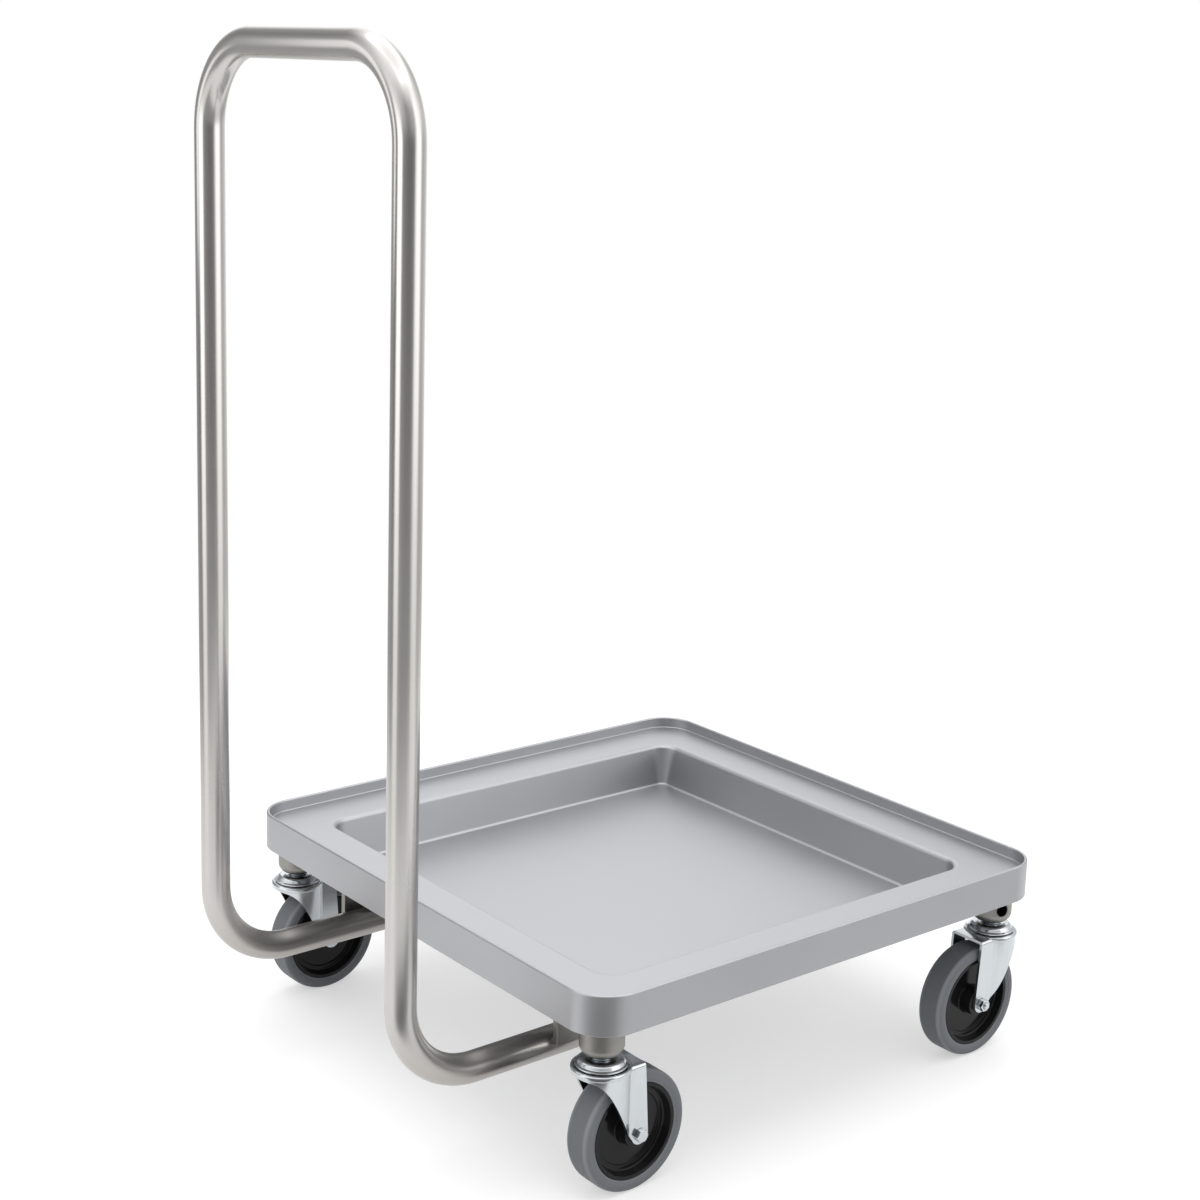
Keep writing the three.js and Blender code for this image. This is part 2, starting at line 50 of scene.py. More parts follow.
# Camera: it stands to the right of the handle and well above the deck, and looks down across the
# pan. Its long lens is shifted a little, to frame the dolly as in the photograph.
lens = bpy.data.cameras.new("camera")
lens.sensor_width = 36
lens.lens = 62.885
lens.shift_y = -0.0873
camera = bpy.data.objects.new("camera", lens)
stand_at = Vector((1395.43, -1140.99, 879.81)) * mm
to_right = Vector((0.62685, 0.77859, 0.02921))
to_top = Vector((-0.17589, 0.10488, 0.97881))
backwards = Vector((0.75903, -0.61871, 0.20269))
aim = Matrix((to_right, to_top, backwards)).transposed().to_4x4()
camera.matrix_world = Matrix.Translation(stand_at) @ aim
bpy.context.scene.collection.objects.link(camera)
bpy.context.scene.camera = camera


# Deck: one sheet of satin stainless steel, pressed down to a sunk pan with a flat ledge round it,
# turned up and folded flat back on itself as the rim, and brought down outside as the skirt.
deck_low, deck_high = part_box("deck")
deck_y = (deck_low.y + deck_high.y) / 2
deck_half = deck_high.x
rim_level = deck_high.z
sheet = 1.5 * mm
hem = 2 * sheet
ledge_level = rim_level - 10.9 * mm
pan_level = rim_level - 52 * mm
skirt_level = rim_level - 33.9 * mm
mouth = hem + 48 * mm  # from the deck's edge to the mouth of the pan
pan_draft = math.radians(10.5)
pan_fall = (ledge_level - pan_level) * math.tan(pan_draft)
floor_edge = mouth + pan_fall
floor_flat = floor_edge + 7 * mm  # from here inwards the pan's floor is one flat face
wall_inset = sheet / math.cos(pan_draft) - sheet * math.tan(pan_draft)
rim_corner = 35 * mm
ledge_corner = 32 * mm
mouth_corner = 20 * mm
floor_corner = 9 * mm


def soft_line(corners, steps=6):
    """Points of a line through (x, y, radius) corners, each corner rounded by its radius."""
    line = []
    for i, (x, y, radius) in enumerate(corners):
        here = Vector((x, y))
        if not radius:
            line.append(here)
            continue
        before = (Vector(corners[i - 1][:2]) - here).normalized()
        after = (Vector(corners[(i + 1) % len(corners)][:2]) - here).normalized()
        half = before.angle(after) / 2
        centre = here + (before + after).normalized() * (radius / math.sin(half))
        first = here + before * (radius / math.tan(half)) - centre
        turn = (math.pi - 2 * half) * -math.copysign(1, before.cross(after))
        for k in range(steps + 1):
            line.append(centre + Matrix.Rotation(turn * k / steps, 2) @ first)
    return line


def skin(name, rows, closed_rows=True, capped=False, wrapped=False):
    """A mesh over rows of points. Capped closes the first and last row, wrapped joins them."""
    mesh = bpy.data.meshes.new(name)
    count = len(rows[0])
    faces = []
    for row in range(len(rows) if wrapped else len(rows) - 1):
        low = row * count
        high = (row + 1) % len(rows) * count
        for i in range(count if closed_rows else count - 1):
            j = (i + 1) % count
            faces.append((low + i, low + j, high + j, high + i))
    if capped:
        faces.append(tuple(reversed(range(count))))
        faces.append(tuple(range((len(rows) - 1) * count, len(rows) * count)))
    mesh.from_pydata([point for row in rows for point in row], [], faces)
    shape = bmesh.new()
    shape.from_mesh(mesh)
    bmesh.ops.remove_doubles(shape, verts=shape.verts, dist=1e-7)
    bmesh.ops.recalc_face_normals(shape, faces=shape.faces)
    shape.to_mesh(mesh)
    shape.free()
    return mesh


crease = math.radians(32)  # where two faces bend by more than this, the edge stays visible


def fit(name, mesh, finish, body, nodes=(), place=None, edge=0):
    """Puts a piece on a body, in place of CAD nodes, its sharp edges rounded if edge is given."""
    made = bpy.data.objects.new(name, mesh)
    bpy.context.scene.collection.objects.link(made)
    if not mesh.materials:
        mesh.materials.append(finish)
        mesh.shade_smooth()
        mesh.set_sharp_from_angle(angle=crease)
    if place is not None:
        made.matrix_world = place
    if edge:
        rounding = made.modifiers.new("broken_edges", "BEVEL")
        rounding.width = edge
        rounding.segments = 2
        rounding.limit_method = "ANGLE"
        rounding.angle_limit = crease
        rounding.miter_outer = "MITER_ARC"
    levelled = made.modifiers.new("level_faces", "WEIGHTED_NORMAL")
    levelled.keep_sharp = not edge
    levelled.weight = 60
    if nodes:
        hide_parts(*nodes)
    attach(made, body)


class Wire:
    """One output of a material's nodes, so that sums on sockets are written as sums."""

    def __init__(self, tree, socket=None):
        self.tree = tree
        self.socket = socket

    def node(self, kind, settings=None, inputs=None, output=0):
        """Makes any node: its settings first, then the values or wires of its inputs."""
        made = self.tree.nodes.new("ShaderNode" + kind)
        for key, value in (settings or {}).items():
            if key == "stops":
                ramp = made.color_ramp
                while len(ramp.elements) < len(value):
                    ramp.elements.new(1)
                for element, (place, colour) in zip(ramp.elements, value):
                    element.position = place
                    element.color = (*colour, 1)
            else:
                setattr(made, key, value)
        for key, value in (inputs or {}).items():
            if isinstance(value, Wire):
                self.tree.links.new(value.socket, made.inputs[key])
            else:
                made.inputs[key].default_value = value
        return Wire(self.tree, made.outputs[output])

    def maths(self, operation, *terms):
        """A Math node on this value and any further terms."""
        return self.node("Math", {"operation": operation}, dict(enumerate((self, *terms))))

    def __add__(self, other):
        return self.maths("ADD", other)

    __radd__ = __add__

    def __sub__(self, other):
        return self.maths("SUBTRACT", other)

    def __rsub__(self, other):
        return self.node("Math", {"operation": "SUBTRACT"}, {0: other, 1: self})

    def __mul__(self, other):
        return self.maths("MULTIPLY", other)

    __rmul__ = __mul__

    def ease(self, start, stop):
        """0 below start, 1 above stop and a smooth rise between them."""
        limits = {"Value": self, "From Min": start, "From Max": stop}
        return self.node("MapRange", {"interpolation_type": "SMOOTHSTEP"}, limits)

    def veil(self, under, over):
        """The colour under, covered by the colour over where this value is 1."""
        return self.node("Mix", {"data_type": "RGBA"}, {0: self, 6: under, 7: over}, output=2)

    def tint(self, low, high):
        """A colour from low to high, as this value goes from 0 to 1."""
        return self.veil((*low, 1), (*high, 1))

    def stretched(self, scale):
        """This vector scaled along each axis."""
        return self.node("VectorMath", {"operation": "MULTIPLY"}, {0: self, 1: scale})

    def grain(self, scale, detail, roughness=0.55):
        """Noise from 0 to 1 over this vector."""
        facts = {"Vector": self, "Scale": scale, "Detail": detail, "Roughness": roughness}
        return self.node("TexNoise", inputs=facts)

    def axes(self):
        """This vector's x, y and z."""
        parts = self.tree.nodes.new("ShaderNodeSeparateXYZ")
        self.tree.links.new(self.socket, parts.inputs[0])
        return [Wire(self.tree, part) for part in parts.outputs]


def finish_of(name, constants=None):
    """A new material: its shader, and the wire of places on the piece in metres."""
    material = bpy.data.materials.new(name)
    material.use_nodes = True
    tree = material.node_tree
    shader = tree.nodes["Principled BSDF"]
    for key, value in (constants or {}).items():
        shader.inputs[key].default_value = value
    place = Wire(tree).node("TexCoord", output="Object")
    return material, shader, place


def drive(shader, place, relief, depth, **wires):
    """Feeds a shader's sockets, and its normal from a relief of this depth in metres."""
    for key, wire in wires.items():
        place.tree.links.new(wire.socket, shader.inputs[key.replace("_", " ")])
    bump = place.node("Bump", inputs={"Strength": 1.0, "Distance": depth, "Height": relief})
    place.tree.links.new(bump.socket, shader.inputs["Normal"])


metal = {"Metallic": 1.0}
satin, shader, place = finish_of("satin_stainless", metal)
rolled = place.stretched((18, 900, 900)).grain(1.0, 4.0)
cloudy = place.grain(7.0, 2.0)
scuffs = place.stretched((60, 210, 60)).grain(1.0, 5.0, 0.7).ease(0.62, 0.78)
drive(
    shader,
    place,
    relief=rolled + place.grain(1500, 2.0) * 0.5,
    depth=0.000008,
    Base_Color=(rolled * 0.35 + cloudy * 0.65).tint((0.39, 0.394, 0.409), (0.462, 0.466, 0.482)),
    Roughness=0.36 + cloudy * 0.08 + rolled * 0.06 + scuffs * 0.05,
)


def deck_ring(inset, level, corner, steps=24):
    """A rounded square at this level, this far in from the deck's edge."""
    half = deck_half - inset - corner
    ring = []
    for quarter in range(4):
        middle = math.radians(45 + 90 * quarter)
        x = math.copysign(half, math.cos(middle))
        y = math.copysign(half, math.sin(middle))
        for k in range(steps + 1):
            angle = middle + math.radians(90 * k / steps - 45)
            away = Vector((math.cos(angle), math.sin(angle))) * corner
            ring.append((x + away.x, deck_y + y + away.y, level))
    return ring


def deck_corner(inset):
    """Radius of the deck's corners this far in from its edge, tightest at the pan's floor."""
    if inset <= hem:
        return rim_corner - inset
    if inset <= mouth:
        return ledge_corner + (mouth_corner - ledge_corner) * (inset - hem) / (mouth - hem)
    tighter = (mouth_corner - floor_corner) * (inset - mouth) / pan_fall
    return max(floor_corner, mouth_corner - tighter)


section = soft_line(
    [
        (floor_flat, pan_level, 0),
        (floor_edge, pan_level, 3 * mm),
        (mouth, ledge_level, 4.5 * mm),
        (hem, ledge_level, 1 * mm),
        (hem, rim_level, 1.45 * mm),
        (0, rim_level, 1.45 * mm),
        (0, skirt_level, 0.5 * mm),
        (sheet, skirt_level, 0.5 * mm),
        (sheet, ledge_level - sheet, 1 * mm),
        (mouth - wall_inset, ledge_level - sheet, 3 * mm),
        (floor_edge - wall_inset, pan_level - sheet, 4.5 * mm),
        (floor_flat, pan_level - sheet, 0),
    ]
)
rings = [deck_ring(inset, level, deck_corner(inset)) for inset, level in section]
deck_mesh = skin("deck_sheet", rings, capped=True)
fit("deck_sheet", deck_mesh, satin, "frame", ["deck"])


# Handle: one round stainless tube, polished along its length with a belt, bent at the two upper
# corners and again where it turns under the deck. Its two legs are welded to the bars.
tube = 12.5 * mm  # its outer radius
tube_bore = 11 * mm
leg_x = 145.4 * mm
leg_level = 93.9 * mm
upright_y = deck_low.y - 101.9 * mm
leg_end = deck_high.y - 40 * mm
bar_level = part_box("handle")[1].z - tube
bend = 70 * mm


def bent_line(corners, steps=20, run=0.02):
    """Stations (place, direction) along a line with square bends, also spaced on its straights."""
    stations = []
    for i, at in enumerate(corners):
        arriving = (at - corners[i - 1]).normalized() if i else None
        leaving = (corners[i + 1] - at).normalized() if i + 1 < len(corners) else None
        if arriving is None or leaving is None:
            stations.append((at, arriving or leaving))
            continue
        for k in range(steps + 1):
            angle = math.pi / 2 * k / steps
            on = arriving * math.cos(angle) + leaving * math.sin(angle)
            short = arriving * (math.sin(angle) - 1) + leaving * (1 - math.cos(angle))
            stations.append((at + short * bend, on))
    spaced = [stations[0]]
    for here, there in zip(stations, stations[1:]):
        length = (there[0] - here[0]).length
        pieces = max(1, round(length / run)) if (there[1] - here[1]).length < 1e-4 else 1
        for k in range(1, pieces + 1):
            spaced.append((here[0].lerp(there[0], k / pieces), there[1]))
    return spaced


def angles_round(sides):
    """The angles of this many even steps round a circle."""
    return [2 * math.pi * k / sides for k in range(sides)]


def swept(name, stations, radius, inner, sides=48):
    """A round tube along stations, open at both ends, with a bore."""
    side = Vector((0, 0, 1))
    outside = []
    bore = []
    for at, on in stations:
        side = (side - on * side.dot(on)).normalized()
        across = on.cross(side)
        spokes = [side * math.cos(a) + across * math.sin(a) for a in angles_round(sides)]
        outside.append([at + spoke * radius for spoke in spokes])
        bore.append([at + spoke * inner for spoke in spokes])
    return skin(name, outside + bore[::-1], wrapped=True)


corners = [
    Vector((-leg_x, leg_end, leg_level)),
    Vector((-leg_x, upright_y, leg_level)),
    Vector((-leg_x, upright_y, bar_level)),
    Vector((leg_x, upright_y, bar_level)),
    Vector((leg_x, upright_y, leg_level)),
    Vector((leg_x, leg_end, leg_level)),
]
tube_mesh = swept("handle_tube", bent_line(corners), tube, tube_bore)

brushed, shader, place = finish_of("brushed_tube", metal)
along_z = place.stretched((1600, 1600, 9)).grain(1.0, 4.0)
along_y = place.stretched((1600, 9, 1600)).grain(1.0, 4.0)
along_x = place.stretched((9, 1600, 1600)).grain(1.0, 4.0)
z = place.axes()[2]
legs_lines_and_shade = 1 - z.ease(0.10, 0.16)
on_bar = z.ease(0.83, 0.88)
lines = along_z + (along_y - along_z) * legs_lines_and_shade + (along_x - along_z) * on_bar
patchy = place.stretched((3, 3, 14)).grain(1.0, 3.0)
polished = lines * 0.6 + patchy * 0.4
drive(
    shader,
    place,
    relief=lines,
    depth=0.00001,
    # The legs, low under the deck, get a darker and browner copy of the tube's colour: painted
    # shade.
    Base_Color=legs_lines_and_shade.veil(
        polished.tint((0.47, 0.455, 0.44), (0.59, 0.575, 0.56)),
        polished.tint((0.40, 0.38, 0.36), (0.52, 0.50, 0.475)),
    ),
    Roughness=0.15 + patchy * 0.08 + lines * 0.06 + (1 - z.ease(0.1, 0.45)) * 0.1,
)
fit("handle_tube", tube_mesh, brushed, "frame", ["handle"])


# Bars: two flat steel bars on edge, one on the outer side of each leg. They are stitch welded to
# the tube and to the pan, and the welds are left dull and a little brown.
stitch = 30 * mm  # length of one weld
dull, shader, place = finish_of("dull_steel", metal)
smears = place.stretched((25, 25, 60)).grain(1.0, 4.0, 0.6)
pits = place.grain(900, 2.0)
drive(
    shader,
    place,
    relief=pits,
    depth=0.00004,
    Base_Color=smears.tint((0.21, 0.202, 0.188), (0.355, 0.345, 0.325)),
    Roughness=0.34 + smears * 0.15,
)


def bead(name, path, radius, pitch):
    """A weld bead: a round rope along a path, thick and thin by turns where each drop froze."""
    rows = []
    length = 0.0
    for i, at in enumerate(path):
        on = (path[min(i + 1, len(path) - 1)] - path[max(i - 1, 0)]).normalized()
        side = on.orthogonal().normalized()
        across = on.cross(side)
        length += (at - path[i - 1]).length if i else 0
        swell = 0.74 + 0.26 * abs(math.sin(math.pi * length / pitch))
        if i in (0, len(path) - 1):
            swell = 0.3
        spokes = [side * math.cos(a) + across * math.sin(a) for a in angles_round(12)]
        rows.append([at + spoke * radius * swell for spoke in spokes])
    return skin(name, rows, capped=True)


for side, name in ((-1, "left"), (1, "right")):
    low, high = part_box("bar_" + name)
    corners = [(low.x, low.z), (high.x, low.z), (high.x, high.z), (low.x, high.z)]
    rows = [[(x, y, z) for x, z in corners] for y in (low.y, high.y)]
    rail = skin("rail_" + name, rows, capped=True)
    fit("rail_" + name, rail, dull, "frame", ["bar_" + name], edge=0.5 * mm)
    face = low.x if side > 0 else high.x
    for end, start, stop in (("near", low.y, low.y + stitch), ("far", high.y - stitch, high.y)):
        along = [start + (stop - start) * k / 60 for k in range(61)]
        on_tube = [Vector((face - side * mm, y, low.z + 2.6 * mm)) for y in along]
        on_pan = [Vector((face, y, high.z - 1.2 * mm)) for y in along]
        label = "weld_" + name + "_" + end
        lower = bead(label, on_tube, 2.1 * mm, 3.4 * mm)
        upper = bead(label + "_top", on_pan, 1.5 * mm, 2.4 * mm)
        fit(label, lower, dull, "frame")
        fit(label + "_top", upper, dull, "frame")


# End plugs: black moulded plastic, pushed into the two open ends of the tube under the deck. A thin
# head lies on the end of the tube, and a plain shank inside holds by its tight fit.
black, shader, place = finish_of("black_nylon", {"Specular IOR Level": 0.19})
moulded = place.grain(1400, 2.0)
worn = place.grain(60, 3.0)
drive(
    shader,
    place,
    relief=moulded,
    depth=0.000012,
    Base_Color=worn.tint((0.006, 0.006, 0.0065), (0.013, 0.013, 0.014)),
    Roughness=0.08 + worn * 0.12,
)


def spun(name, profile, sides):
    """A turned mesh about Z from (radius, height) points, closed where it meets itself."""
    rows = []
    around = angles_round(sides)
    for radius, height in profile:
        rows.append([(radius * math.cos(a), radius * math.sin(a), height) for a in around])
    return skin(name, rows, wrapped=profile[0][0] > 0)


plug_profile = soft_line(
    [
        (0, -14 * mm, 0),
        (9.7 * mm, -14 * mm, 0.5 * mm),
        (10.7 * mm, -12 * mm, 0.5 * mm),
        (10.7 * mm, 0.3 * mm, 0),
        (12.2 * mm, 0.3 * mm, 0.3 * mm),
        (12.5 * mm, 1 * mm, 0.3 * mm),
        (12.5 * mm, 3 * mm, 1.4 * mm),
        (0, 3 * mm, 0),
    ]
)
facing_far = Matrix.Rotation(-math.pi / 2, 4, "X")
for side, name in ((-1, "left"), (1, "right")):
    seat = Matrix.Translation((side * leg_x, leg_end, leg_level)) @ facing_far
    plug = spun("plug_" + name, plug_profile, 48)
    fit("plug_" + name, plug, black, "frame", ["end_plug_" + name], seat)


# Sockets: a spun steel cup under each corner of the deck, welded to the ledge. It has a rounded
# foot and one cross hole, and the castor's threaded stem is screwed up into it.
def carved(mesh, *tools):
    """The mesh after each (operation, tool mesh), such as a cut by a drill."""
    base = bpy.data.objects.new("blank", mesh)
    helpers = [base]
    bpy.context.scene.collection.objects.link(base)
    for operation, tool in tools:
        helper = bpy.data.objects.new("tool", tool)
        bpy.context.scene.collection.objects.link(helper)
        helpers.append(helper)
        step = base.modifiers.new("step", "BOOLEAN")
        step.operation = operation
        step.solver = "EXACT"
        step.object = helper
    bpy.context.view_layer.update()
    ready = base.evaluated_get(bpy.context.evaluated_depsgraph_get())
    done = bpy.data.meshes.new_from_object(ready)
    done.name = mesh.name
    for helper in helpers:
        bpy.data.objects.remove(helper)
    shape = bmesh.new()
    shape.from_mesh(done)
    bmesh.ops.remove_doubles(shape, verts=shape.verts, dist=2e-6)
    shape.to_mesh(done)
    shape.free()
    return done


def rod(radius, length, sides=40):
    """A cylinder about X, from the origin along +X, that drills a hole."""
    rows = []
    around = angles_round(sides)
    for x in (0, length):
        rows.append([(x, radius * math.cos(a), radius * math.sin(a)) for a in around])
    return skin("rod", rows, capped=True)


ledge_under = ledge_level - sheet - 0.3 * mm
cup_radius = 18.2 * mm
hole_level = 135.5 * mm
hole_angle = math.radians(-17)
cup_profile = soft_line(
    [
        (6.3 * mm, 121 * mm, 0),
        (11 * mm, 121 * mm, 3 * mm),
        (cup_radius, 124.5 * mm, 9 * mm),
        (cup_radius, ledge_under, 0.4 * mm),
        (15.7 * mm, ledge_under, 0.4 * mm),
        (15.7 * mm, 128 * mm, 6 * mm),
        (12 * mm, 123.5 * mm, 1 * mm),
        (6.3 * mm, 123.5 * mm, 0),
    ],
    10,
)
cup = spun("cup", cup_profile, 72)
hole = rod(5.75 * mm, 25 * mm)
hole.transform(Matrix.Translation((0, 0, hole_level)))
cup = carved(cup, ("DIFFERENCE", hole))
seam_radius = cup_radius + 0.2 * mm
seam_level = ledge_under - 0.6 * mm
seam_path = [
    Vector((math.cos(a) * seam_radius, math.sin(a) * seam_radius, seam_level))
    for a in (2 * math.pi * k / 200 for k in range(201))
]
seam = bead("seam", seam_path, 1.6 * mm, 4 * mm)

stems = {}
for corner in ("handle_left", "handle_right", "far_left", "far_right"):
    low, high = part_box("stem_" + corner)
    axis = Matrix.Translation(((low.x + high.x) / 2, (low.y + high.y) / 2, 0))
    stems[corner] = axis
    hole_turn = hole_angle if corner.startswith("far") else hole_angle + math.pi
    drilled = axis @ Matrix.Rotation(hole_turn, 4, "Z")
    socket = ["socket_" + corner]
    fit("cup_" + corner, cup, dull, "frame", socket, drilled, edge=0.3 * mm)
    fit("seam_" + corner, seam, dull, "frame", place=axis)


# Swivel heads: a turned stem with a collar, a pressed cap over the ring of balls and a dish below
# the fork. Cap, stem and dish are bright zinc plated, the balls and their cage plain steel.
zinc, shader, place = finish_of("bright_zinc", metal)
spangle = place.grain(160, 3.0)
drawn = place.stretched((300, 300, 40)).grain(1.0, 3.0)
drive(
    shader,
    place,
    relief=spangle + drawn * 0.4,
    depth=0.000012,
    Base_Color=(spangle * 0.5 + drawn * 0.5).tint((0.49, 0.515, 0.535), (0.6, 0.63, 0.65)),
    Roughness=0.11 + spangle * 0.07,
)
bearing, shader, place = finish_of("bearing_steel", metal)
ground = place.stretched((2000, 2000, 60)).grain(1.0, 2.0)
drive(
    shader,
    place,
    relief=ground,
    depth=0.000006,
    Base_Color=ground.tint((0.42, 0.43, 0.44), (0.55, 0.56, 0.57)),
    Roughness=0.16 + ground * 0.1,
)
stem_profile = soft_line(
    [
        (0, 101.2 * mm, 0),
        (8.5 * mm, 101.2 * mm, 0.9 * mm),
        (8.5 * mm, 103.8 * mm, 0.3 * mm),
        (6 * mm, 103.8 * mm, 0),
        (6 * mm, 118.1 * mm, 0),
        (8 * mm, 118.1 * mm, 0.4 * mm),
        (8 * mm, 119 * mm, 0.3 * mm),
        (7.2 * mm, 119.4 * mm, 0.3 * mm),
        (7.2 * mm, 119.8 * mm, 0.3 * mm),
        (8 * mm, 120.2 * mm, 0.2 * mm),
        (8 * mm, 120.7 * mm, 0.2 * mm),
        (6 * mm, 120.7 * mm, 0),
        (6 * mm, 134 * mm, 0),
        (5.2 * mm, 134.8 * mm, 0),
        (0, 134.8 * mm, 0),
    ],
    4,
)
cap_profile = soft_line(
    [
        (6.3 * mm, 112.8 * mm, 0),
        (10.2 * mm, 112.8 * mm, 0),
        (10.6 * mm, 115.9 * mm, 0.8 * mm),
        (15.4 * mm, 116.3 * mm, 0.8 * mm),
        (19.9 * mm, 112.9 * mm, 0),
        (20.9 * mm, 112.7 * mm, 0.3 * mm),
        (21.5 * mm, 113.1 * mm, 0.3 * mm),
        (21.5 * mm, 114.1 * mm, 0.5 * mm),
        (19.5 * mm, 114.9 * mm, 1 * mm),
        (17.4 * mm, 118.4 * mm, 3.4 * mm),
        (11.6 * mm, 118.6 * mm, 0.7 * mm),
        (10.4 * mm, 117.9 * mm, 0.6 * mm),
        (6.3 * mm, 117.9 * mm, 0),
    ],
    8,
)
stem_mesh = spun("stem", stem_profile, 48)
cap_mesh = spun("cap", cap_profile, 72)
for corner, axis in stems.items():
    fit("pin_" + corner, stem_mesh, zinc, "frame", ["stem_" + corner], axis)
    fit("top_" + corner, cap_mesh, zinc, "frame", ["cap_" + corner], axis)
    for node, finish in (("stem_nut_", zinc), ("dish_", zinc), ("ball_ring_", bearing)):
        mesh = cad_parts[node + corner].data
        mesh.materials.clear()
        mesh.materials.append(finish)


# Forks: each is pressed from one zinc plated sheet. The round crown carries a raised bead round
# the cap, a flat shelf runs back from it, and two legs with round ends hold the axle.
trail = 27 * mm
axle_level = 51 * mm
leg_half = 18 * mm
leg_sheet = 2.5 * mm
leg_end_radius = 8.3 * mm
fork_rear = trail + leg_end_radius


def fork_plan(radius, half, fillet, rear, level):
    """Outline of the pressing: a circle in front, straight sides behind and a fillet between."""
    away = half + fillet
    reach = radius + fillet
    centre_y = math.sqrt(reach * reach - away * away)
    start = math.atan2(centre_y, away)
    line = [(half, rear), (half, (rear + centre_y) / 2)]
    for k in range(9):
        angle = math.pi + start * k / 8
        line.append((away + fillet * math.cos(angle), centre_y + fillet * math.sin(angle)))
    for k in range(1, 41):
        angle = start - (start + math.pi / 2) * k / 40
        line.append((radius * math.cos(angle), radius * math.sin(angle)))
    mirrored = [(-x, y) for x, y in line[-2::-1]]
    return [(x, y, level) for x, y in line + mirrored]


def pressing(name, radius, half, fillet, rear, floor, top, edge):
    """A solid of that outline with its upper edge rounded."""
    rows = [fork_plan(radius, half, fillet, rear, floor)]
    for k in range(7):
        angle = math.pi / 2 * k / 6
        inset = edge * (1 - math.cos(angle))
        level = top - edge * (1 - math.sin(angle))
        rows.append(fork_plan(radius - inset, half - inset, fillet + inset, rear, level))
    return skin(name, rows, capped=True)


def side_cut():
    """The sweep seen from the side, as a prism across the fork."""

    def round_end(angle):
        y = trail + leg_end_radius * math.cos(angle)
        z = axle_level + leg_end_radius * math.sin(angle)
        return (y, z)

    line = [(fork_rear, axle_level)]
    line += [(y * mm, z * mm) for y, z in ((31, 111), (31, 116), (-30, 116), (-30, 106.6))]
    meets_leg = math.radians(205)
    crown = Vector((-24.5, 106.6)) * mm
    crown_pull = Vector((-7.4, 106.6)) * mm
    leg_pull = Vector((-2.7, 78.8)) * mm
    leg = Vector(round_end(meets_leg))
    for k in range(33):
        t = k / 32
        point = crown * (1 - t) ** 3 + crown_pull * 3 * t * (1 - t) ** 2
        point = point + leg_pull * 3 * t * t * (1 - t)
        point = point + leg * t**3
        line.append(tuple(point))
    for k in range(1, 20):
        line.append(round_end(meets_leg + (2 * math.pi - meets_leg) * k / 20))
    return skin("sweep", [[(x, y, z) for y, z in line] for x in (-40 * mm, 40 * mm)], capped=True)


ring_profile = soft_line(
    [
        (0, 105 * mm, 0),
        (22.9 * mm, 105 * mm, 0),
        (23.4 * mm, 107.4 * mm, 0.4 * mm),
        (24.5 * mm, 108.2 * mm, 0.9 * mm),
        (24.5 * mm, 112.3 * mm, 2 * mm),
        (21.9 * mm, 112.3 * mm, 0.6 * mm),
        (21.6 * mm, 111.2 * mm, 0),
        (0, 111.2 * mm, 0),
    ],
    6,
)
blank = pressing(
    "fork",
    radius=23.6 * mm,
    half=leg_half,
    fillet=3 * mm,
    rear=fork_rear + 5 * mm,
    floor=30 * mm,
    top=111.3 * mm,
    edge=3 * mm,
)
hollow = pressing(
    "hollow",
    radius=21.1 * mm,
    half=leg_half - leg_sheet,
    fillet=5.5 * mm,
    rear=fork_rear + 20 * mm,
    floor=20 * mm,
    top=108.8 * mm,
    edge=0.8 * mm,
)
stem_hole = rod(6.4 * mm, 40 * mm)
stem_hole.transform(Matrix.Translation((0, 0, 90 * mm)) @ Matrix.Rotation(-math.pi / 2, 4, "Y"))
axle_hole = rod(3.3 * mm, 80 * mm)
axle_hole.transform(Matrix.Translation((-40 * mm, trail, axle_level)))
fork_mesh = carved(
    blank,
    ("UNION", spun("ring", ring_profile, 96)),
    ("INTERSECT", side_cut()),
    ("DIFFERENCE", hollow),
    ("DIFFERENCE", stem_hole),
    ("DIFFERENCE", axle_hole),
)
castors = {}
for corner, axis in stems.items():
    turned = axis @ Matrix.Rotation(math.pi if corner.startswith("far") else 0, 4, "Z")
    castors[corner] = turned
    body = "castor_" + corner
    fork = ["fork_" + corner]
    fit("pressed_" + corner, fork_mesh, zinc, body, fork, turned, edge=0.35 * mm)


# Axles: a hexagon bolt through both legs with a nut on its far end. The wheel turns on a ground
# sleeve that the bolt clamps between the legs.
def hexagon(name, flats, low, high, chamfer, bore=None):
    """A hexagon about X between two places along X, chamfered at its high end."""
    radius = flats / math.sqrt(3)
    before = low - 2 * mm
    around = angles_round(6)
    ends = [[(x, radius * math.cos(a), radius * math.sin(a)) for a in around] for x in (low, high)]
    prism = skin("hexagon", ends, capped=True)
    cone = []
    for x, r in ((before, 3 * radius), (high - chamfer, radius), (high, radius - chamfer * 1.9)):
        cone.append([(x, r * math.cos(a), r * math.sin(a)) for a in angles_round(60)])
    steps = [("INTERSECT", skin("cone", cone, capped=True))]
    if bore:
        drill = rod(bore, high - low + 4 * mm)
        drill.transform(Matrix.Translation((before, 0, 0)))
        steps.append(("DIFFERENCE", drill))
    done = carved(prism, *steps)
    done.name = name
    return done


